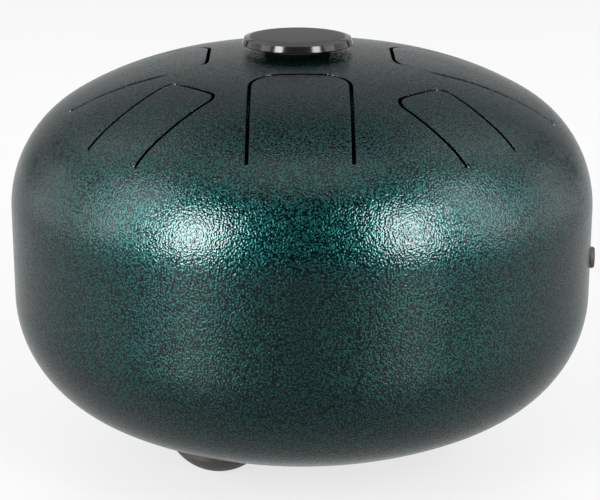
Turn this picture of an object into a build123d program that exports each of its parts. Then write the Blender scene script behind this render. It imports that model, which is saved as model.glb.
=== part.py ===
from build123d import *
from collections import namedtuple
from math import asin, cos, degrees, radians, sin
import os

# A steel tongue drum: two pressed heads joined rim to rim, with tongues cut in the upper one.
# Millimetres, +Z up, the floor at Z 0 under the drum's axis, the player at -Y.

# Heads: a straight flange, then knuckle, shoulder and crown arcs, each tangent to the next
body_diameter = 200.0
wall = 2.2
flange = 15.2
knuckle_radius = 41.3
shoulder_radius = 109.0
crown_radius = 261.0
crown_reach = 42.0

# Sound port in the bottom
port_diameter = 50.0
port_edge_radius = 0.6

# Seam weld: a ring in the groove that the two bevelled rims leave, ground flush
weld_width = 2.8
weld_land = 0.8

# Tongues: azimuth turns from the player towards +X. The rest is in plan and in shares of the body's radius:
# aside shifts a tongue to its own side, free_end and root are distances from the axis, and corner rounds the free end.
Tongue = namedtuple("Tongue", "azimuth aside free_end root width corner")
TONGUES = {
    "tongue_front": Tongue(0, -0.006, 0.339, 0.824, 0.312, 0.091),
    "tongue_front_right": Tongue(45.4, -0.038, 0.563, 0.866, 0.225, 0.045),
    "tongue_right": Tongue(90.2, -0.004, 0.313, 0.843, 0.392, 0.109),
    "tongue_rear_right": Tongue(134, 0.042, 0.505, 0.860, 0.230, 0.045),
    "tongue_rear": Tongue(180, 0, 0.370, 0.820, 0.300, 0.090),
    "tongue_rear_left": Tongue(-134, -0.042, 0.480, 0.860, 0.240, 0.045),
    "tongue_left": Tongue(-89.6, 0.007, 0.324, 0.774, 0.400, 0.098),
    "tongue_front_left": Tongue(-46.4, 0.044, 0.526, 0.867, 0.224, 0.034),
}
slot_width = 1.2
root_gap = 0.03

# Centre cap on its foam pad, set a little off the axis as it was stuck on
cap_diameter = 38.0
cap_taper = 0.8
cap_flank = 2.2
cap_shoulder_run = 5.1
cap_shoulder_rise = 0.75
cap_dome_rise = 0.15
cap_edge_radius = 0.3
cap_offset = -1.5
pad_diameter = 22.0
pad_thickness = 1.6

# Rubber feet, square to the bottom's slope, each flattened a little where it stands
FEET = {"foot_front_left": -41, "foot_right": 79, "foot_rear": 199}
foot_circle_diameter = 90.0
foot_diameter = 27.0
foot_skirt = 1.5
foot_height = 7.3
sole_depth = 0.4
foot_tape = 0.8
tape_margin = 0.8

# Rubber bumper on the side wall
bumper_azimuth = 82
bumper_drop = 2.3
bumper_diameter = 7.7
bumper_taper = 0.5
bumper_skirt = 1.1
bumper_height = 1.35
bumper_tape = 0.25
bumper_tape_margin = 0.3

# How far a stuck-on piece is drawn inside the body before its base is cut to the body's curve
base_overlap = 3.0

os.makedirs("parts", exist_ok=True)


def finish(piece, name):
    """Names a finished piece and writes its file."""
    piece.part.label = name
    export_step(piece.part, f"parts/{name}.step")


# Section of a head, in its own plane: X out from the axis, Y away from the seam
def towards(angle):
    """Unit vector in a head's section, at an angle from the axis."""
    return Vector(sin(angle), cos(angle))


body_radius = body_diameter / 2
crown_angle = asin(crown_reach / crown_radius)
shoulder_run = body_radius - knuckle_radius - (crown_radius - shoulder_radius) * sin(crown_angle)
shoulder_angle = asin(shoulder_run / (shoulder_radius - knuckle_radius))
knuckle_centre = Vector(body_radius - knuckle_radius, flange)
shoulder_centre = knuckle_centre - (shoulder_radius - knuckle_radius) * towards(shoulder_angle)
crown_centre = shoulder_centre - (crown_radius - shoulder_radius) * towards(crown_angle)
shoulder_reach = (shoulder_centre + shoulder_radius * towards(shoulder_angle)).X
head_height = crown_centre.Y + crown_radius


def head_angle(reach):
    """Angle from the axis to a head's outward normal, at a distance from the axis."""
    if reach <= crown_reach:
        return asin(reach / crown_radius)
    if reach <= shoulder_reach:
        return asin((reach - shoulder_centre.X) / shoulder_radius)
    return asin((reach - knuckle_centre.X) / knuckle_radius)


def head_point(angle):
    """Point of a head's outer face whose normal stands at an angle to the axis."""
    if angle <= crown_angle:
        return crown_centre + crown_radius * towards(angle)
    if angle <= shoulder_angle:
        return shoulder_centre + shoulder_radius * towards(angle)
    return knuckle_centre + knuckle_radius * towards(angle)


def head_arcs(lift):
    """Crown, shoulder and knuckle arcs at a distance outside a head's outer face."""
    crown_end = 90 - degrees(crown_angle)
    shoulder_end = 90 - degrees(shoulder_angle)
    CenterArc((0, crown_centre.Y), crown_radius + lift, 90, crown_end - 90)
    CenterArc(shoulder_centre, shoulder_radius + lift, crown_end, shoulder_end - crown_end)
    CenterArc(knuckle_centre, knuckle_radius + lift, shoulder_end, -shoulder_end)


def head_section(plane):
    """Wall of a head, its rim bevelled outside for the weld."""
    inner = body_radius - wall
    with BuildSketch(plane) as section:
        with BuildLine():
            head_arcs(0)
            Polyline(
                (body_radius, flange),
                (body_radius, weld_width / 2),
                (inner + weld_land, 0),
                (inner, 0),
                (inner, flange),
            )
            head_arcs(-wall)
            Line((0, head_height - wall), (0, head_height))
        make_face()
    return section.sketch


# The feet set the height of the seam: their domes reach sole_depth below the floor before they are cut flat
foot_angle = head_angle(foot_circle_diameter / 2)
foot_seat = head_point(foot_angle)
foot_reach = foot_tape + foot_height
dome_rise = foot_height - foot_skirt
dome_radius = ((foot_diameter / 2) ** 2 + dome_rise**2) / (2 * dome_rise)
dome_centre = foot_seat + (foot_reach - dome_radius) * towards(foot_angle)
seam_height = dome_centre.Y + dome_radius - sole_depth

seam = (0, 0, seam_height)
top_plane = Plane(origin=seam, x_dir=(1, 0, 0), z_dir=(0, -1, 0))
bottom_plane = Plane(origin=seam, x_dir=(1, 0, 0), z_dir=(0, 1, 0))
crown_height = seam_height + head_height


def outward(azimuth):
    """Level direction away from the axis, at an azimuth."""
    return Vector(sin(radians(azimuth)), -cos(radians(azimuth)), 0)


def sideways(azimuth):
    """Level direction square to outward."""
    return Vector(cos(radians(azimuth)), sin(radians(azimuth)), 0)


def body_envelope(lift):
    """Solid bounded by the drum's outer face, or by a face lifted off it."""
    with BuildPart() as envelope:
        for plane in (top_plane, bottom_plane):
            with BuildSketch(plane):
                with BuildLine():
                    head_arcs(lift)
                    Polyline(
                        (body_radius + lift, flange),
                        (body_radius + lift, 0),
                        (0, 0),
                        (0, head_height + lift),
                    )
                make_face()
            revolve(axis=Axis.Z)
    return envelope.part


def tongue_plan(tongue, margin, gap):
    """Plan of a tongue, grown by a margin round its free edges and stopped short of its root by a gap."""
    free_end = tongue.free_end * body_radius - margin
    length = tongue.root * body_radius - gap - free_end
    width = tongue.width * body_radius + 2 * margin
    place = Plane(origin=seam, x_dir=outward(tongue.azimuth), z_dir=(0, 0, 1))
    with BuildSketch(place) as plan:
        with Locations((free_end, tongue.aside * body_radius)):
            Rectangle(length, width, align=(Align.MIN, Align.CENTER))
        fillet(plan.vertices().group_by(Axis.X)[0], tongue.corner * body_radius + margin)
    return plan.sketch


# Upper head, with a slot round each tongue
with BuildPart() as top_shell:
    revolve(head_section(top_plane), axis=Axis.Z)
    for tongue in TONGUES.values():
        extrude(tongue_plan(tongue, slot_width, 0), amount=head_height, mode=Mode.SUBTRACT)
finish(top_shell, "top_shell")

# Tongues, cut from the same sheet
for name, tongue in TONGUES.items():
    with BuildPart() as tongue_piece:
        revolve(head_section(top_plane), axis=Axis.Z)
        extrude(tongue_plan(tongue, 0, root_gap), amount=head_height, mode=Mode.INTERSECT)
    finish(tongue_piece, name)

# Lower head, with the sound port at its middle
with BuildPart() as bottom_shell:
    revolve(head_section(bottom_plane), axis=Axis.Z)
    with BuildSketch():
        Circle(port_diameter / 2)
    extrude(amount=seam_height, mode=Mode.SUBTRACT)
    port_edges = bottom_shell.edges().filter_by(GeomType.CIRCLE)
    port_edges = port_edges.filter_by(lambda edge: abs(edge.radius - port_diameter / 2) < wall / 10)
    fillet(port_edges, port_edge_radius)
finish(bottom_shell, "bottom_shell")

# Seam weld
with BuildPart() as seam_weld:
    with BuildSketch(top_plane):
        with BuildLine():
            Polyline(
                (body_radius, weld_width / 2),
                (body_radius - wall + weld_land, 0),
                (body_radius, -weld_width / 2),
                close=True,
            )
        make_face()
    revolve(axis=Axis.Z)
finish(seam_weld, "seam_weld")

body_solid = body_envelope(0)

# Centre cap: a tapered flank, a shoulder that rounds into the top, and a nearly flat dome
cap_base = crown_height + pad_thickness
cap_axis = Axis((cap_offset, 0, 0), (0, 0, 1))
cap_rim = cap_diameter / 2 - cap_taper
cap_dome_reach = cap_rim - cap_shoulder_run
cap_dome = (cap_dome_reach**2 + cap_dome_rise**2) / (2 * cap_dome_rise)
cap_dome_angle = degrees(asin(cap_dome_reach / cap_dome))
cap_top = cap_flank + cap_shoulder_rise + cap_dome_rise
with BuildPart() as centre_cap:
    with BuildSketch(Plane(origin=(cap_offset, 0, cap_base), x_dir=(1, 0, 0), z_dir=(0, -1, 0))) as cap_section:
        with BuildLine():
            dome = CenterArc((0, cap_top - cap_dome), cap_dome, 90, -cap_dome_angle)
            TangentArc(dome @ 1, (cap_rim, cap_flank), tangent=dome % 1)
            Polyline((cap_rim, cap_flank), (cap_diameter / 2, 0), (0, 0), (0, cap_top))
        make_face()
        lower_corner = cap_section.vertices().sort_by_distance((cap_diameter / 2, 0))[0]
        fillet(lower_corner, cap_edge_radius)
    revolve(axis=cap_axis)
finish(centre_cap, "centre_cap")

# Foam pad under the cap, cut to the crown's curve
with BuildPart() as cap_pad:
    with BuildSketch(Plane.XY.offset(cap_base)):
        with Locations((cap_offset, 0)):
            Circle(pad_diameter / 2)
    extrude(amount=-pad_thickness - base_overlap)
    add(body_solid, mode=Mode.SUBTRACT)
finish(cap_pad, "cap_pad")

# Feet and their tapes
foot_seat_solid = body_envelope(foot_tape)
for name, azimuth in FEET.items():
    foot_axis_dir = outward(azimuth) * sin(foot_angle) - Vector(0, 0, cos(foot_angle))
    foot_origin = outward(azimuth) * foot_seat.X + Vector(0, 0, seam_height - foot_seat.Y)
    across = sideways(azimuth)
    foot_section = Plane(origin=foot_origin, x_dir=across, z_dir=across.cross(foot_axis_dir))
    dome_angle = 90 - degrees(asin(foot_diameter / 2 / dome_radius))

    with BuildPart() as foot:
        with BuildSketch(foot_section):
            with BuildLine():
                Polyline(
                    (0, foot_reach),
                    (0, -base_overlap),
                    (foot_diameter / 2, -base_overlap),
                    (foot_diameter / 2, foot_tape + foot_skirt),
                )
                CenterArc((0, foot_reach - dome_radius), dome_radius, dome_angle, 90 - dome_angle)
            make_face()
        revolve(axis=Axis(foot_origin, foot_axis_dir))
        add(foot_seat_solid, mode=Mode.SUBTRACT)
        with BuildSketch(Plane.XY):
            Circle(body_radius)
        extrude(amount=-foot_reach, mode=Mode.SUBTRACT)
    finish(foot, name)

    with BuildPart() as tape:
        with BuildSketch(Plane(origin=foot_origin, x_dir=across, z_dir=foot_axis_dir)):
            Circle(foot_diameter / 2 - tape_margin)
        extrude(amount=base_overlap, both=True)
        add(foot_seat_solid, mode=Mode.INTERSECT)
        add(body_solid, mode=Mode.SUBTRACT)
    finish(tape, f"{name}_tape")

# Side bumper and its tape
bumper_seat_solid = body_envelope(bumper_tape)
bumper_out = outward(bumper_azimuth)
bumper_origin = bumper_out * body_radius + Vector(0, 0, seam_height - bumper_drop)
bumper_rim = bumper_diameter / 2 - bumper_taper
bumper_crown = bumper_height - bumper_skirt
bumper_dome = (bumper_rim**2 + bumper_crown**2) / (2 * bumper_crown)
bumper_dome_angle = 90 - degrees(asin(bumper_rim / bumper_dome))
bumper_up = Vector(0, 0, 1)
bumper_section = Plane(origin=bumper_origin, x_dir=bumper_up, z_dir=bumper_up.cross(bumper_out))
bumper_reach = bumper_tape + bumper_height
with BuildPart() as side_bumper:
    with BuildSketch(bumper_section):
        with BuildLine():
            Polyline(
                (0, bumper_reach),
                (0, -base_overlap),
                (bumper_diameter / 2, -base_overlap),
                (bumper_diameter / 2, bumper_tape),
                (bumper_rim, bumper_tape + bumper_skirt),
            )
            CenterArc((0, bumper_reach - bumper_dome), bumper_dome, bumper_dome_angle, 90 - bumper_dome_angle)
        make_face()
    revolve(axis=Axis(bumper_origin, bumper_out))
    add(bumper_seat_solid, mode=Mode.SUBTRACT)
finish(side_bumper, "side_bumper")

with BuildPart() as bumper_tape_piece:
    with BuildSketch(Plane(origin=bumper_origin, x_dir=bumper_up, z_dir=bumper_out)):
        Circle(bumper_diameter / 2 - bumper_tape_margin)
    extrude(amount=base_overlap, both=True)
    add(bumper_seat_solid, mode=Mode.INTERSECT)
    add(body_solid, mode=Mode.SUBTRACT)
finish(bumper_tape_piece, "bumper_tape")

print(f"seam at {seam_height:.3f}, head {head_height:.3f} high, crown at {crown_height:.3f}")
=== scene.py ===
from collections import namedtuple
from math import asin, cos, pi, radians, sin

import bmesh
import bpy
import numpy as np
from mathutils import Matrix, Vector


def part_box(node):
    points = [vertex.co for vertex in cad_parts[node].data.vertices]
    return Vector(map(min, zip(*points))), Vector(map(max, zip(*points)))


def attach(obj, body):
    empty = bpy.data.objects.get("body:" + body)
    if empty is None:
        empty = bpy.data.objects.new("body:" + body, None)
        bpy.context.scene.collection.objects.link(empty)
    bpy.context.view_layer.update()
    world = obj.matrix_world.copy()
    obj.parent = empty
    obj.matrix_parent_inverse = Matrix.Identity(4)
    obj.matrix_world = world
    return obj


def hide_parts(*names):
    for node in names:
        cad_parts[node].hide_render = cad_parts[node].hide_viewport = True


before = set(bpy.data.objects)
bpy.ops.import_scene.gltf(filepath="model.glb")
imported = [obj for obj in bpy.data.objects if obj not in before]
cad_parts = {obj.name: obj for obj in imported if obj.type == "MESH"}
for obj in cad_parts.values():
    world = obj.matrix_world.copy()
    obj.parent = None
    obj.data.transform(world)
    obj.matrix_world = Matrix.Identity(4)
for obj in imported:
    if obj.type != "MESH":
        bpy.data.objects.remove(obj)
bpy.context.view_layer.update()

MM = 0.001
weld_low, weld_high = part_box("seam_weld")
SEAM = (weld_low.z + weld_high.z) / 2 / MM

# Camera, at the photograph's viewing angle
PHOTO_WIDTH = 600
SENSOR_WIDTH = 36.0
FOCAL_PIXELS = 1869.745
CAMERA_DROP = radians(16.8707)
CAMERA_ASIDE = -0.00068
CAMERA_BACK = -0.62792
CAMERA_RISE = 0.18653
camera_data = bpy.data.cameras.new("camera")
camera_data.sensor_width = SENSOR_WIDTH
camera_data.lens = SENSOR_WIDTH * FOCAL_PIXELS / PHOTO_WIDTH
camera_data.clip_start = 0.01
camera = bpy.data.objects.new("camera", camera_data)
camera.location = (CAMERA_ASIDE, CAMERA_BACK, SEAM * MM + CAMERA_RISE)
camera.rotation_euler = (pi / 2 - CAMERA_DROP, 0, 0)
bpy.context.scene.collection.objects.link(camera)
bpy.context.scene.camera = camera

# Sizes of the drum, in millimetres, as the solids have them
BODY_RADIUS = 100.0
WALL = 2.2
FLANGE = 15.2
KNUCKLE_RADIUS = 41.3
SHOULDER_RADIUS = 109.0
CROWN_RADIUS = 261.0
CROWN_REACH = 42.0
WELD_HALF_WIDTH = 1.4
WELD_LAND = 0.8
PORT_RADIUS = 25.0
PORT_EDGE = 0.6
SLOT = 1.2
ROOT_GAP = 0.03

# Paint's rounded edge along a slot, in millimetres: radius, start from the root, and run to full size
PAINT_EDGE = 0.15
PAINT_EDGE_START = 0.4
PAINT_EDGE_GROWTH = 1.6

# Joining of the surfaces' grids: merging distance in millimetres, and the angle past which an edge is sharp
MERGE_DISTANCE = 0.002
CREASE = radians(40)

# Rows and points of the surfaces' grids, and the power that draws a sector's rows towards its slot
FLANGE_POINTS = 8
DISC_RINGS = 14
SECTOR_ROWS = 18
SECTOR_SPACING = 0.75
UNDER_ROWS = 14
TONGUE_ROWS = 14
EDGE_POINTS = 5
BAND_POINTS = 26
BOTTOM_OUTER_POINTS = 90
BOTTOM_INNER_POINTS = 60
TURN_POINTS = 240

# Tongues: azimuth from the player towards +X, and plan sizes in millimetres
Tongue = namedtuple("Tongue", "azimuth aside free_end root width corner")
TONGUES = {
    "tongue_front": Tongue(0, -0.6, 33.9, 82.4, 31.2, 9.1),
    "tongue_front_right": Tongue(45.4, -3.8, 56.3, 86.6, 22.5, 4.5),
    "tongue_right": Tongue(90.2, -0.4, 31.3, 84.3, 39.2, 10.9),
    "tongue_rear_right": Tongue(134, 4.2, 50.5, 86.0, 23.0, 4.5),
    "tongue_rear": Tongue(180, 0, 37.0, 82.0, 30.0, 9.0),
    "tongue_rear_left": Tongue(226, -4.2, 48.0, 86.0, 24.0, 4.5),
    "tongue_left": Tongue(270.4, 0.7, 32.4, 77.4, 40.0, 9.8),
    "tongue_front_left": Tongue(313.6, 4.4, 52.6, 86.7, 22.4, 3.4),
}
# Start of the plan sector round each tongue, in the same order, and every sector's inner and outer reach
SECTOR_STARTS = (-25.0, 25.3, 64.5, 115.5, 154.5, 205.5, 244.5, 295.5)
SECTOR_INNER = 26.0
SECTOR_OUTER = 91.5

CROWN_ANGLE = asin(CROWN_REACH / CROWN_RADIUS)
SHOULDER_RUN = BODY_RADIUS - KNUCKLE_RADIUS - (CROWN_RADIUS - SHOULDER_RADIUS) * sin(CROWN_ANGLE)
SHOULDER_ANGLE = asin(SHOULDER_RUN / (SHOULDER_RADIUS - KNUCKLE_RADIUS))


def towards(angle):
    """Unit vector of a head's section at an angle from the axis: the sine out and the cosine up."""
    return np.stack([np.sin(angle), np.cos(angle)], axis=-1)


KNUCKLE_CENTRE = np.array([BODY_RADIUS - KNUCKLE_RADIUS, FLANGE])
SHOULDER_CENTRE = KNUCKLE_CENTRE - (SHOULDER_RADIUS - KNUCKLE_RADIUS) * towards(SHOULDER_ANGLE)
CROWN_CENTRE = SHOULDER_CENTRE - (CROWN_RADIUS - SHOULDER_RADIUS) * towards(CROWN_ANGLE)


def arc_height(reach, centre, radius):
    """Height of an arc over a reach.

    It is the centre's height plus the root of the radius squared less the run squared."""
    return centre[1] + np.sqrt(np.maximum(radius**2 - (reach - centre[0]) ** 2, 0))


def skin_height(reach, inset):
    """Height of a head's face above the seam, inset from the outer face.

    Crown, shoulder and knuckle are three arcs that meet with one slope; the reach picks the arc."""
    crown_end = CROWN_CENTRE[0] + (CROWN_RADIUS - inset) * sin(CROWN_ANGLE)
    shoulder_end = SHOULDER_CENTRE[0] + (SHOULDER_RADIUS - inset) * sin(SHOULDER_ANGLE)
    crown = arc_height(reach, CROWN_CENTRE, CROWN_RADIUS - inset)
    shoulder = arc_height(reach, SHOULDER_CENTRE, SHOULDER_RADIUS - inset)
    knuckle = arc_height(reach, KNUCKLE_CENTRE, KNUCKLE_RADIUS - inset)
    return np.where(reach < crown_end, crown, np.where(reach < shoulder_end, shoulder, knuckle))


def skin_path(start, inset, rim, count):
    """Section of a head's face from a reach to the rim: the arcs by angle from the axis, then the flange.

    The count angles are even from the start's own angle to a right angle, and each picks its arc."""
    crown_end = CROWN_CENTRE[0] + (CROWN_RADIUS - inset) * sin(CROWN_ANGLE)
    shoulder_end = SHOULDER_CENTRE[0] + (SHOULDER_RADIUS - inset) * sin(SHOULDER_ANGLE)
    if start < crown_end:
        first = asin(start / (CROWN_RADIUS - inset))
    elif start < shoulder_end:
        first = asin((start - SHOULDER_CENTRE[0]) / (SHOULDER_RADIUS - inset))
    else:
        first = asin((start - KNUCKLE_CENTRE[0]) / (KNUCKLE_RADIUS - inset))
    angle = np.linspace(first, pi / 2, count)[:, None]
    crown = CROWN_CENTRE + (CROWN_RADIUS - inset) * towards(angle[:, 0])
    shoulder = SHOULDER_CENTRE + (SHOULDER_RADIUS - inset) * towards(angle[:, 0])
    knuckle = KNUCKLE_CENTRE + (KNUCKLE_RADIUS - inset) * towards(angle[:, 0])
    arcs = np.where(angle < CROWN_ANGLE, crown, np.where(angle < SHOULDER_ANGLE, shoulder, knuckle))
    flange = np.linspace(FLANGE, rim, FLANGE_POINTS)[1:]
    straight = np.stack([np.full(len(flange), BODY_RADIUS - inset), flange], axis=-1)
    return np.concatenate([arcs, straight])


def turned(section, azimuths, side=1):
    """Surface of revolution: each section point, as reach and height, at every azimuth, rows by section."""
    reach, height = section[:, 0, None], section[:, 1, None]
    x = reach * np.sin(azimuths)
    y = -reach * np.cos(azimuths)
    return np.stack([x, y, np.broadcast_to(SEAM + side * height, x.shape)], axis=-1)


def grid_quads(rows, columns, first, closed_rows):
    """Corner numbers of a grid's quads; columns always close, rows where asked."""
    row = np.arange(rows if closed_rows else rows - 1)[:, None]
    column = np.arange(columns)[None, :]
    below = (row + 1) % rows
    beside = (column + 1) % columns
    corners = [
        row * columns + column, row * columns + beside,
        below * columns + beside, below * columns + column,
    ]
    return np.stack(corners, axis=-1).reshape(-1, 4) + first


def make_piece(name, grids, body, material, closed_rows=False):
    """Mesh of one or more grids of millimetre points, joined where they meet, on its body and with its
    material.

    A grid's fourth value, where it has one, is kept as the cut attribute. A point that joining leaves with
    only two edges is dissolved, so that no two faces fold onto each other."""
    points, cuts, quads, first = [], [], [], 0
    for grid in grids:
        rows, columns = grid.shape[:2]
        flat = grid.reshape(rows * columns, -1)
        points.append(flat[:, :3] * MM)
        cuts.append(flat[:, 3] if flat.shape[1] > 3 else np.zeros(len(flat)))
        quads.append(grid_quads(rows, columns, first, closed_rows))
        first += rows * columns
    mesh = bpy.data.meshes.new(name)
    mesh.from_pydata(np.concatenate(points), [], np.concatenate(quads).tolist())
    mesh.attributes.new("cut", "FLOAT", "POINT").data.foreach_set("value", np.concatenate(cuts))
    joined = bmesh.new()
    joined.from_mesh(mesh)
    bmesh.ops.remove_doubles(joined, verts=joined.verts, dist=MERGE_DISTANCE * MM)
    bmesh.ops.dissolve_degenerate(joined, edges=joined.edges, dist=MERGE_DISTANCE * MM)
    loose = [point for point in joined.verts if len(point.link_edges) == 2]
    bmesh.ops.dissolve_verts(joined, verts=loose)
    joined.to_mesh(mesh)
    joined.free()
    mesh.shade_smooth()
    mesh.set_sharp_from_angle(angle=CREASE)
    mesh.materials.append(material)
    piece = bpy.data.objects.new(name, mesh)
    bpy.context.scene.collection.objects.link(piece)
    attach(piece, body)
    return piece


# Points along the loop round a tongue: the root, each side, each corner and the free end
ROOT_POINTS = 26
SIDE_POINTS = 34
CORNER_POINTS = 12
END_POINTS = 26


def spread(start, end, count):
    """Even run of points from start up to, but not reaching, end."""
    share = np.arange(count)[:, None] / count
    return np.asarray(start) + share * (np.asarray(end) - np.asarray(start))


def tongue_loop(tongue, margin, gap):
    """Plan loop round a tongue and its outward normals, in the tongue's own out and across axes.

    It runs along the root, in along one side, round a quarter circle, across the free end and back."""
    half = tongue.width / 2 + margin
    corner = tongue.corner + margin
    end = tongue.free_end - margin
    root = tongue.root - gap
    low, high = tongue.aside - half, tongue.aside + half
    turn = np.arange(CORNER_POINTS) / CORNER_POINTS * pi / 2
    rise = np.stack([-np.sin(turn), np.cos(turn)], axis=-1)
    fall = np.stack([-np.cos(turn), -np.sin(turn)], axis=-1)
    points = np.concatenate([
        spread((root, low), (root, high), ROOT_POINTS),
        spread((root, high), (end + corner, high), SIDE_POINTS),
        np.array([end + corner, high - corner]) + corner * rise,
        spread((end, high - corner), (end, low + corner), END_POINTS),
        np.array([end + corner, low + corner]) + corner * fall,
        spread((end + corner, low), (root, low), SIDE_POINTS),
    ])
    normals = np.concatenate([
        np.tile((1.0, 0.0), (ROOT_POINTS, 1)),
        np.tile((0.0, 1.0), (SIDE_POINTS, 1)),
        rise,
        np.tile((-1.0, 0.0), (END_POINTS, 1)),
        fall,
        np.tile((0.0, -1.0), (SIDE_POINTS, 1)),
    ])
    return points, normals


def sector_loop(tongue, start, end):
    """Border of a tongue's plan sector, point for point with its loop, in the tongue's own axes.

    An outer arc, a radial line in, an inner arc and a radial line out; neighbours share radial lines."""
    spokes = SIDE_POINTS + CORNER_POINTS
    step = (SECTOR_OUTER - SECTOR_INNER) / spokes
    inward = SECTOR_OUTER - step * np.arange(spokes)
    outward = SECTOR_INNER + step * np.arange(spokes)
    reach = np.concatenate([
        np.full(ROOT_POINTS, SECTOR_OUTER), inward, np.full(END_POINTS, SECTOR_INNER), outward,
    ])
    azimuth = np.concatenate([
        start + (end - start) * np.arange(ROOT_POINTS) / ROOT_POINTS, np.full(spokes, end),
        end + (start - end) * np.arange(END_POINTS) / END_POINTS, np.full(spokes, start),
    ])
    angle = np.radians(azimuth - tongue.azimuth)
    return np.stack([reach * np.cos(angle), reach * np.sin(angle)], axis=-1)


def raised(tongue, plan, inset, drop=0.0, cut=0.0):
    """Plan points in a tongue's axes, turned to the drum's and lifted onto a head's face, less a drop.

    The fourth value is how far each point is down a cut wall, from nought to one."""
    angle = radians(tongue.azimuth)
    x = plan[..., 0] * sin(angle) + plan[..., 1] * cos(angle)
    y = -plan[..., 0] * cos(angle) + plan[..., 1] * sin(angle)
    height = SEAM + skin_height(np.hypot(x, y), inset) - drop
    return np.stack([x, y, np.broadcast_to(height, x.shape), np.broadcast_to(cut, x.shape)], axis=-1)


def edge_radius(points, root):
    """Radius of the paint's rounded edge: full along a slot, none at the root, where the sheet goes on."""
    return PAINT_EDGE * np.clip((root - points[:, 0] - PAINT_EDGE_START) / PAINT_EDGE_GROWTH, 0, 1)


# Angles across a rounded edge, and how much of the slot walls' painted shade each takes: nought on the
# first third of the sine
EDGE_TURN = np.linspace(0, pi / 2, EDGE_POINTS)
EDGE_CUT = np.clip(1.5 * np.sin(EDGE_TURN) - 0.5, 0, 1)


def shell_sector(tongue, start, end):
    """Top shell round one slot: from the sector's border to the slot, over its edge and back below.

    Outside rows share out the way between the border and the slot; edge rows are a quarter circle."""
    loop, normal = tongue_loop(tongue, SLOT, 0.0)
    border = sector_loop(tongue, start, end)
    radius = edge_radius(loop, tongue.root)[:, None]
    brim = loop + normal * radius
    share = np.linspace(0, 1, SECTOR_ROWS)[:-1, None, None] ** SECTOR_SPACING
    rows = [raised(tongue, border + share * (brim - border), 0.0)]
    out = loop + normal * radius * (1 - np.sin(EDGE_TURN))[:, None, None]
    rows.append(raised(tongue, out, 0.0, radius[:, 0] * (1 - np.cos(EDGE_TURN))[:, None],
                       EDGE_CUT[:, None] * radius[:, 0] / PAINT_EDGE))
    rows.append(raised(tongue, loop[None], WALL, cut=1.0))
    back = np.linspace(0, 1, UNDER_ROWS)[1:, None, None]
    rows.append(raised(tongue, loop + back * (border - loop), WALL))
    return np.concatenate(rows)


def tongue_grid(tongue):
    """Tongue from its underside's middle line out to its edge, up over the rounding and back to the middle.

    Each row is the loop drawn a share of the way to the nearest point of the tongue's middle line."""
    loop, normal = tongue_loop(tongue, 0.0, ROOT_GAP)
    radius = edge_radius(loop, tongue.root)[:, None]
    half = tongue.width / 2
    first = tongue.free_end + half
    along = np.clip(loop[:, 0], first, max(tongue.root - half, first))
    middle = np.stack([along, np.full(len(loop), tongue.aside)], axis=-1)
    share = np.linspace(0, 1, TONGUE_ROWS)[:, None, None]
    rows = [raised(tongue, middle + share * (loop - middle), WALL, cut=share[..., 0] == 1)]
    turn = EDGE_TURN[::-1]
    out = loop - normal * radius * (1 - np.sin(turn))[:, None, None]
    rows.append(raised(tongue, out, 0.0, radius[:, 0] * (1 - np.cos(turn))[:, None],
                       EDGE_CUT[::-1, None] * radius[:, 0] / PAINT_EDGE))
    brim = loop - normal * radius
    rows.append(raised(tongue, brim + share[1:] * (middle - brim), 0.0))
    return np.concatenate(rows)


# Finishes: tones, grain in cells per metre, and reliefs and reaches in millimetres
PAINT_GRAIN = 1700.0
PAINT_TONE_START = 0.42
PAINT_TONE_END = 0.63
# Paint tones: the dark hollow and light crest are partly the paint's own tone, partly painted shade and
# painted light
PAINT_SHADED_HOLLOW = (0.0003, 0.006, 0.006)
PAINT_LIT_CREST = (0.007, 0.052, 0.049)
# Near black on the slot walls is painted shade in the narrow slots
SLOT_WALL_SHADE = (0.001, 0.002, 0.002)
PAINT_RELIEF = 0.2
FILM_RELIEF = 0.12
CAP_DARK = (0.003, 0.003, 0.003)
CAP_LIGHT = (0.006, 0.006, 0.006)
CAP_SATIN_END = 15.8
CAP_GLOSS_START = 16.8
CAP_GRAIN = 4200.0
CAP_RELIEF = 0.02
CAP_CLOUD = 160.0
RUBBER_DARK = (0.010, 0.0078, 0.006)
RUBBER_DUSTY = (0.025, 0.019, 0.015)
RUBBER_GRAIN = 2600.0
RUBBER_RELIEF = 0.03
RUBBER_DUST = 240.0
TAPE_DARK = (0.42, 0.40, 0.36)
TAPE_LIGHT = (0.60, 0.58, 0.54)
TAPE_CLOUD = 420.0
FOAM_DARK = (0.004, 0.004, 0.004)
FOAM_LIGHT = (0.010, 0.010, 0.010)
FOAM_CELLS = 2200.0
FOAM_RELIEF = 0.1


# Materials
def material(name):
    """Empty node material with a Principled shader, and its node tree."""
    made = bpy.data.materials.new(name)
    made.use_nodes = True
    return made, made.node_tree.nodes, made.node_tree.links, made.node_tree.nodes["Principled BSDF"]


def add_node(nodes, kind, **values):
    """Node of a kind with its properties, and its input sockets by name, set to values."""
    node = nodes.new(kind)
    for key, value in values.items():
        if key in node.inputs:
            node.inputs[key].default_value = value
        else:
            setattr(node, key, value)
    return node


def noise(nodes, links, where, scale, detail, roughness=0.5):
    """Noise texture on Object coordinates."""
    node = add_node(nodes, "ShaderNodeTexNoise", Scale=scale, Detail=detail, Roughness=roughness)
    links.new(where, node.inputs["Vector"])
    return node.outputs["Fac"]


def ranged(nodes, links, source, low, high, to_low, to_high, smooth=False):
    """Map Range node from low..high to to_low..to_high, clamped."""
    node = add_node(nodes, "ShaderNodeMapRange", interpolation_type="SMOOTHSTEP" if smooth else "LINEAR")
    node.inputs["From Min"].default_value = low
    node.inputs["From Max"].default_value = high
    node.inputs["To Min"].default_value = to_low
    node.inputs["To Max"].default_value = to_high
    links.new(source, node.inputs["Value"])
    return node.outputs["Result"]


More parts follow.
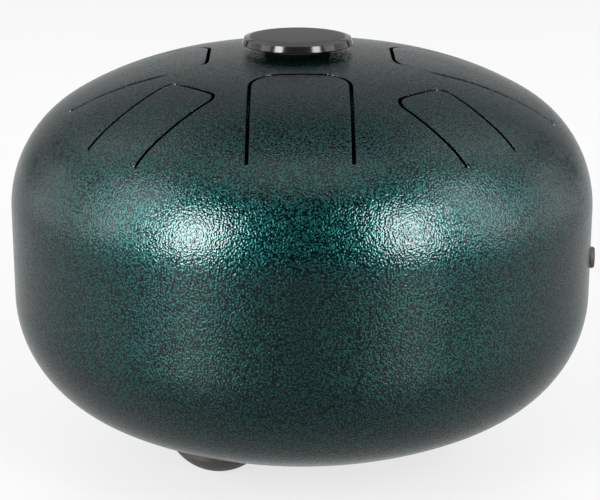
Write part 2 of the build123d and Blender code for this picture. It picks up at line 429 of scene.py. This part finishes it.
def combined(nodes, links, operation, first, second):
    """Math node on two sources, each a socket or a number."""
    node = add_node(nodes, "ShaderNodeMath", operation=operation)
    for socket, value in zip(node.inputs, (first, second)):
        if isinstance(value, (int, float)):
            socket.default_value = value
        else:
            links.new(value, socket)
    return node.outputs["Value"]


# Places of the Mix node's colour sockets, which share their names with others
MIX_DARK = 6
MIX_LIGHT = 7
MIX_RESULT = 2


def two_tone(nodes, links, factor, dark, light):
    """Colour mixed between two tones by a factor."""
    node = add_node(nodes, "ShaderNodeMix", data_type="RGBA")
    node.inputs[MIX_DARK].default_value = (*dark, 1)
    node.inputs[MIX_LIGHT].default_value = (*light, 1)
    links.new(factor, node.inputs["Factor"])
    return node.outputs[MIX_RESULT]


def bumped(nodes, links, height, distance):
    """Bump node from a height, at full strength, with its distance in millimetres."""
    node = add_node(nodes, "ShaderNodeBump", Strength=1.0, Distance=distance * MM)
    links.new(height, node.inputs["Height"])
    return node.outputs["Normal"]


def hammered_paint():
    """Teal metallic hammer finish under a clear film.

    One fine noise is both relief and tone: crests are light and hollows dark, partly the paint's own tone
    and partly painted light on the crests and painted shade in the hollows. The film's relief is lower.
    Slot walls, where the piece's cut attribute is one, are near black, a painted shade in the narrow slots."""
    made, nodes, links, shader = material("hammered_teal_paint")
    where = nodes.new("ShaderNodeTexCoord").outputs["Object"]
    height = noise(nodes, links, where, PAINT_GRAIN, 0.0)
    tone = ranged(nodes, links, height, PAINT_TONE_START, PAINT_TONE_END, 0.0, 1.0, True)
    # Darker hollows and lighter crests: partly the paint's tone, partly painted shade and painted light
    teal = two_tone(nodes, links, tone, PAINT_SHADED_HOLLOW, PAINT_LIT_CREST)
    cut = add_node(nodes, "ShaderNodeAttribute", attribute_name="cut").outputs["Fac"]
    # Slot walls get the near black of a painted shade
    slot_shaded = two_tone(nodes, links, cut, (0, 0, 0), SLOT_WALL_SHADE)
    links.new(teal, slot_shaded.node.inputs[MIX_DARK])
    links.new(slot_shaded, shader.inputs["Base Color"])
    links.new(bumped(nodes, links, height, PAINT_RELIEF), shader.inputs["Normal"])
    links.new(bumped(nodes, links, height, FILM_RELIEF), shader.inputs["Coat Normal"])
    shader.inputs["Metallic"].default_value = 1.0
    shader.inputs["Roughness"].default_value = 0.36
    shader.inputs["Specular Tint"].default_value = (0.3, 0.35, 0.35, 1)
    shader.inputs["Coat Weight"].default_value = 0.48
    shader.inputs["Coat Roughness"].default_value = 0.08
    shader.inputs["Coat IOR"].default_value = 1.49
    return made


def cap_plastic():
    """Black moulded plastic: glossy flank and rim, and a satin top with a fine spark-eroded grain."""
    made, nodes, links, shader = material("black_cap_plastic")
    where = nodes.new("ShaderNodeTexCoord").outputs["Object"]
    cap_low, cap_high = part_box("centre_cap")
    plan = add_node(nodes, "ShaderNodeVectorMath", operation="MULTIPLY_ADD")
    plan.inputs[1].default_value = (1, 1, 0)
    plan.inputs[2].default_value = (-(cap_low.x + cap_high.x) / 2, -(cap_low.y + cap_high.y) / 2, 0)
    links.new(where, plan.inputs[0])
    reach = add_node(nodes, "ShaderNodeVectorMath", operation="LENGTH")
    links.new(plan.outputs["Vector"], reach.inputs[0])
    top = ranged(nodes, links, reach.outputs["Value"], CAP_SATIN_END * MM, CAP_GLOSS_START * MM,
                 1.0, 0.0, True)
    grain = noise(nodes, links, where, CAP_GRAIN, 1.0)
    cloud = noise(nodes, links, where, CAP_CLOUD, 2.0)
    links.new(two_tone(nodes, links, cloud, CAP_DARK, CAP_LIGHT), shader.inputs["Base Color"])
    links.new(ranged(nodes, links, top, 0.0, 1.0, 0.14, 0.42), shader.inputs["Roughness"])
    height = combined(nodes, links, "MULTIPLY", grain, top)
    links.new(bumped(nodes, links, height, CAP_RELIEF), shader.inputs["Normal"])
    shader.inputs["Specular IOR Level"].default_value = 0.25
    return made


def moulded_rubber():
    """Brown-black rubber: matt, with fine grain and a little dust."""
    made, nodes, links, shader = material("moulded_rubber")
    where = nodes.new("ShaderNodeTexCoord").outputs["Object"]
    grain = noise(nodes, links, where, RUBBER_GRAIN, 2.0)
    dust = noise(nodes, links, where, RUBBER_DUST, 3.0, 0.6)
    links.new(two_tone(nodes, links, dust, RUBBER_DARK, RUBBER_DUSTY), shader.inputs["Base Color"])
    links.new(ranged(nodes, links, dust, 0.3, 0.7, 0.55, 0.72), shader.inputs["Roughness"])
    links.new(bumped(nodes, links, grain, RUBBER_RELIEF), shader.inputs["Normal"])
    return made


def clear_tape():
    """Pale adhesive tape, slightly cloudy."""
    made, nodes, links, shader = material("adhesive_tape")
    where = nodes.new("ShaderNodeTexCoord").outputs["Object"]
    cloud = noise(nodes, links, where, TAPE_CLOUD, 3.0)
    links.new(two_tone(nodes, links, cloud, TAPE_DARK, TAPE_LIGHT), shader.inputs["Base Color"])
    links.new(ranged(nodes, links, cloud, 0.3, 0.7, 0.3, 0.5), shader.inputs["Roughness"])
    return made


def closed_foam():
    """Black closed-cell foam: matt, with small open cells at its cut edge."""
    made, nodes, links, shader = material("closed_foam")
    where = nodes.new("ShaderNodeTexCoord").outputs["Object"]
    cells = add_node(nodes, "ShaderNodeTexVoronoi", feature="F1", Scale=FOAM_CELLS)
    links.new(where, cells.inputs["Vector"])
    tone = two_tone(nodes, links, cells.outputs["Distance"], FOAM_DARK, FOAM_LIGHT)
    links.new(tone, shader.inputs["Base Color"])
    links.new(bumped(nodes, links, cells.outputs["Distance"], FOAM_RELIEF), shader.inputs["Normal"])
    shader.inputs["Roughness"].default_value = 0.9
    return made


paint = hammered_paint()
plastic = cap_plastic()
rubber = moulded_rubber()
tape = clear_tape()
foam = closed_foam()

# Top shell: a sector round each slot, the crown's disc over and under, and the band down to the rim
starts = np.array(SECTOR_STARTS)
ends = np.append(starts[1:], starts[0] + 360)


def around(count):
    """Azimuths of a count of points in every sector, in radians."""
    return np.radians(np.concatenate([spread(a, b, count)[:, 0] for a, b in zip(starts, ends)]))


inner_azimuths = around(END_POINTS)
outer_azimuths = around(ROOT_POINTS)
disc_reach = np.linspace(SECTOR_INNER, 0, DISC_RINGS)
crown_disc = turned(np.stack([disc_reach, skin_height(disc_reach, 0.0)], axis=-1), inner_azimuths)
under_disc = turned(np.stack([disc_reach, skin_height(disc_reach, WALL)], axis=-1)[::-1], inner_azimuths)
rim_section = np.array([[BODY_RADIUS - WALL + WELD_LAND, 0.0]])
band_section = np.concatenate([
    skin_path(SECTOR_OUTER, WALL, 0.0, BAND_POINTS),
    rim_section,
    skin_path(SECTOR_OUTER, 0.0, WELD_HALF_WIDTH, BAND_POINTS)[::-1],
])
shell_grids = [crown_disc, under_disc, turned(band_section, outer_azimuths)]
shell_grids += [shell_sector(t, a, b) for t, a, b in zip(TONGUES.values(), starts, ends)]
top_shell = make_piece("painted_top_shell", shell_grids, "drum", paint)
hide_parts("top_shell")

# Tongues
for name, row in TONGUES.items():
    piece = make_piece("painted_" + name, [tongue_grid(row)], name, paint)
    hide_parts(name)

# Bottom shell: one closed section turned about the axis, with a rounded port edge
azimuths = np.linspace(0, 2 * pi, TURN_POINTS, endpoint=False)
port_turn = np.linspace(0, pi / 2, EDGE_POINTS)
port_outer = float(skin_height(np.array(PORT_RADIUS + PORT_EDGE), 0.0))
port_inner = float(skin_height(np.array(PORT_RADIUS + PORT_EDGE), WALL))
outer_lip = np.stack([
    PORT_RADIUS + PORT_EDGE * (1 - np.cos(port_turn)), port_outer - PORT_EDGE * (1 - np.sin(port_turn)),
], axis=-1)
inner_lip = np.stack([
    PORT_RADIUS + PORT_EDGE * (1 - np.sin(port_turn)), port_inner + PORT_EDGE * (1 - np.cos(port_turn)),
], axis=-1)
bottom_section = np.concatenate([
    outer_lip,
    skin_path(PORT_RADIUS + PORT_EDGE, 0.0, WELD_HALF_WIDTH, BOTTOM_OUTER_POINTS)[1:],
    rim_section,
    skin_path(PORT_RADIUS + PORT_EDGE, WALL, 0.0, BOTTOM_INNER_POINTS)[::-1],
    inner_lip[1:],
])
bottom_grid = turned(bottom_section, azimuths, side=-1)
bottom_shell = make_piece("painted_bottom_shell", [bottom_grid], "drum", paint, closed_rows=True)
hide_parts("bottom_shell")

# Seam weld: the groove's triangle turned about the axis, its face flush with the shells
weld_section = np.array([
    [BODY_RADIUS, -WELD_HALF_WIDTH], [BODY_RADIUS, WELD_HALF_WIDTH], [BODY_RADIUS - WALL + WELD_LAND, 0.0],
])
weld_grid = turned(weld_section, azimuths)
weld = make_piece("painted_seam_weld", [weld_grid], "drum", paint, closed_rows=True)
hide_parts("seam_weld")

# Solids that stay as they are, with their finishes
FINISHES = {
    "centre_cap": plastic, "cap_pad": foam, "side_bumper": rubber, "bumper_tape": tape,
    "foot_front_left": rubber, "foot_right": rubber, "foot_rear": rubber,
    "foot_front_left_tape": tape, "foot_right_tape": tape, "foot_rear_tape": tape,
}
for name, finish in FINISHES.items():
    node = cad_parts[name]
    node.data.materials.clear()
    node.data.materials.append(finish)

# Floor and light: places in metres, lines of the floor's grid, and glows, where a strength of one is white
FLOOR_REACH = 6.0
FLOOR_LINES = 3
FLOOR_GLOW = 0.72
# The lower glow in front of the drum, from start to end below, is a painted shadow that the low body
# mirrors
FLOOR_SHADOW_GLOW = 0.28
FLOOR_SHADOW_START = -0.07
FLOOR_SHADOW_END = -0.14
WORLD_LEVEL = 0.04
LAMP_AIM = (0, -0.09, 0.1)


def seen_or_mirrored(nodes, links):
    """One for rays from the camera, from gloss and through glass, and nought for the rest."""
    path = nodes.new("ShaderNodeLightPath")
    seen = combined(nodes, links, "MAXIMUM", path.outputs["Is Camera Ray"], path.outputs["Is Glossy Ray"])
    return combined(nodes, links, "MAXIMUM", seen, path.outputs["Is Transmission Ray"])


def studio_floor():
    """White table top with a slight gloss, a square sheet well past the view, that takes the drum's shadow.

    It glows for the camera and in gloss; in front of the drum the glow drops, a painted shadow that the low
    body mirrors."""
    made, nodes, links, shader = material("white_floor")
    shader.inputs["Base Color"].default_value = (0.1, 0.1, 0.1, 1)
    shader.inputs["Roughness"].default_value = 0.4
    shader.inputs["Specular IOR Level"].default_value = 0.25
    shader.inputs["Emission Color"].default_value = (1, 1, 1, 1)
    axes = nodes.new("ShaderNodeSeparateXYZ")
    links.new(nodes.new("ShaderNodeTexCoord").outputs["Object"], axes.inputs["Vector"])
    # The glow drops in front of the drum: a painted shadow on the floor
    shadowed_glow = ranged(nodes, links, axes.outputs["Y"], FLOOR_SHADOW_END, FLOOR_SHADOW_START,
                    FLOOR_SHADOW_GLOW, FLOOR_GLOW, True)
    glow = combined(nodes, links, "MULTIPLY", seen_or_mirrored(nodes, links), shadowed_glow)
    links.new(glow, shader.inputs["Emission Strength"])
    reach = np.linspace(-FLOOR_REACH, FLOOR_REACH, FLOOR_LINES)
    x, y = np.meshgrid(reach, reach)
    points = np.stack([x, y, np.zeros_like(x)], axis=-1).reshape(-1, 3)
    row, column = np.meshgrid(np.arange(FLOOR_LINES - 1), np.arange(FLOOR_LINES - 1), indexing="ij")
    near = (row * FLOOR_LINES + column).reshape(-1)
    far = near + FLOOR_LINES
    quads = np.stack([near, near + 1, far + 1, far], axis=-1)
    mesh = bpy.data.meshes.new("floor")
    mesh.from_pydata(points.tolist(), [], quads.tolist())
    mesh.materials.append(made)
    floor = bpy.data.objects.new("floor", mesh)
    bpy.context.scene.collection.objects.link(floor)


def studio_world(level):
    """Plain grey surround."""
    world = bpy.data.worlds.new("studio")
    bpy.context.scene.world = world
    world.use_nodes = True
    back = world.node_tree.nodes["Background"]
    back.inputs["Color"].default_value = (1, 1, 1, 1)
    back.inputs["Strength"].default_value = level


def softbox(name, azimuth, elevation, distance, width, height, power):
    """Area lamp at a bearing from the drum's front and an elevation, turned to face the drum.

    Angles are in degrees, distance, width and height in metres and power in watts."""
    data = bpy.data.lights.new(name, "AREA")
    data.shape = "RECTANGLE"
    data.size = width
    data.size_y = height
    data.energy = power
    lamp = bpy.data.objects.new(name, data)
    a, e = radians(azimuth), radians(elevation)
    away = np.array([sin(a) * cos(e), -cos(a) * cos(e), sin(e)])
    lamp.location = np.array(LAMP_AIM) + distance * away
    lamp.rotation_euler = (pi / 2 - e, 0, a)
    lamp.visible_camera = False
    bpy.context.scene.collection.objects.link(lamp)


studio_floor()
studio_world(WORLD_LEVEL)

# Lamps: bearing, elevation, distance, width, height and power
softbox("softbox_left", -44.5, 19, 1.2, 0.34, 0.72, 28)
softbox("softbox_right", 44.5, 21.5, 1.2, 0.34, 0.78, 24)
for side, hand in ((-1, "left"), (1, "right")):
    softbox("flank_strip_" + hand, 76 * side, 24, 1.3, 0.5, 1.1, 9)
    softbox("side_panel_low_" + hand, 105 * side, 8, 1.3, 1.2, 0.7, 5.4)
    softbox("side_panel_high_" + hand, 105 * side, 45, 1.3, 1.2, 0.9, 5)
softbox("rear_panel_low", 180, 10, 1.8, 3.2, 0.6, 4.5)
softbox("rear_panel_high", 180, 42, 1.8, 3.2, 1.3, 9.3)
softbox("overhead", 0, 84, 1.7, 1.4, 1.4, 10.5)

view = bpy.context.scene.view_settings
view.view_transform = "Standard"
